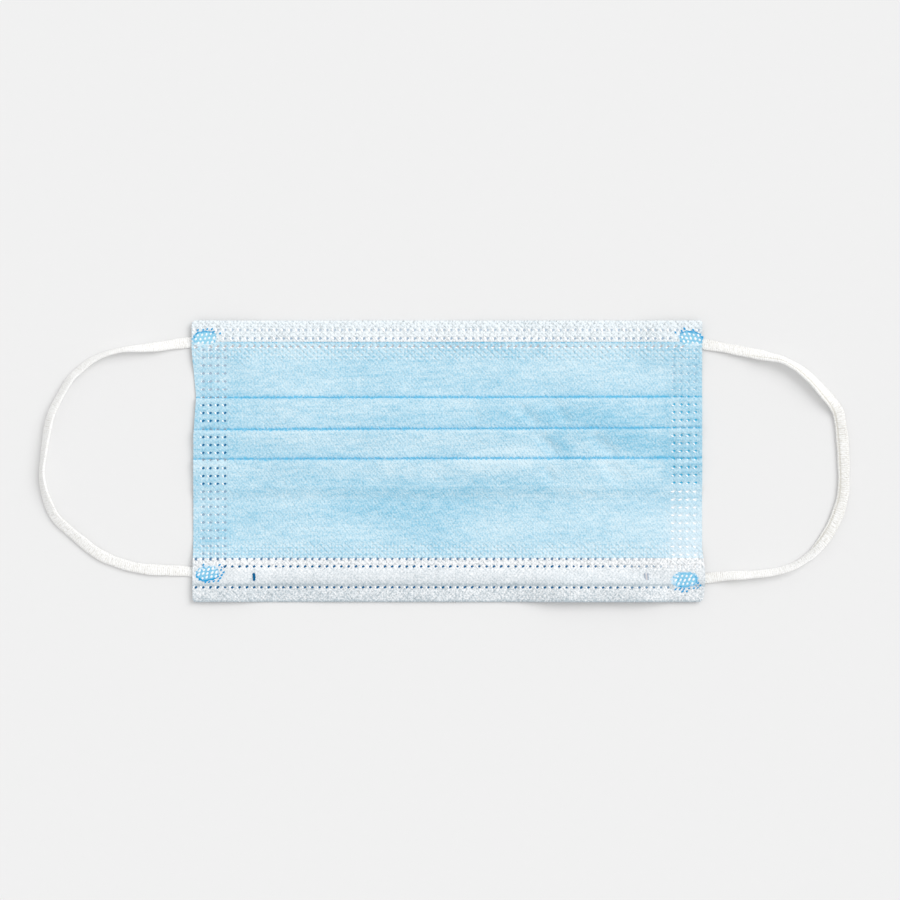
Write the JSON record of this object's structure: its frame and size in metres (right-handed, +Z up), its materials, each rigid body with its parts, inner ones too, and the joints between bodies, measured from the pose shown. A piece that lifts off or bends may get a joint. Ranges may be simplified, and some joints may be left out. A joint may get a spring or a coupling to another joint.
{
  "type": "disposable face mask",
  "caption": "Pleated disposable face mask lying flat, with a blue outer ply, a white inner ply, a nose wire in its hem and elastic ear loops.",
  "frame": {"origin": "on the surface that the mask lies on, under the middle of its wall", "axes": "+X along the mask, +Y from the nose hem to the chin hem, +Z up, out of the blue outer side"},
  "size_m": [0.2784, 0.0966, 0.0049],
  "materials": {
    "outer_ply": "matte spunbond nonwoven, point-bonded",
    "inner_ply": "matte spunbond nonwoven, point-bonded",
    "nose_wire": "satin plastic coating on a soft steel wire",
    "ear_loop": "knitted elastic, soft and slightly ribbed"
  },
  "bodies": {
    "root": {"outer_ply": "outer_ply", "inner_ply": "inner_ply", "nose_wire": "nose_wire", "ear_loop_left": "ear_loop", "ear_loop_right": "ear_loop"}
  },
  "joints": []
}
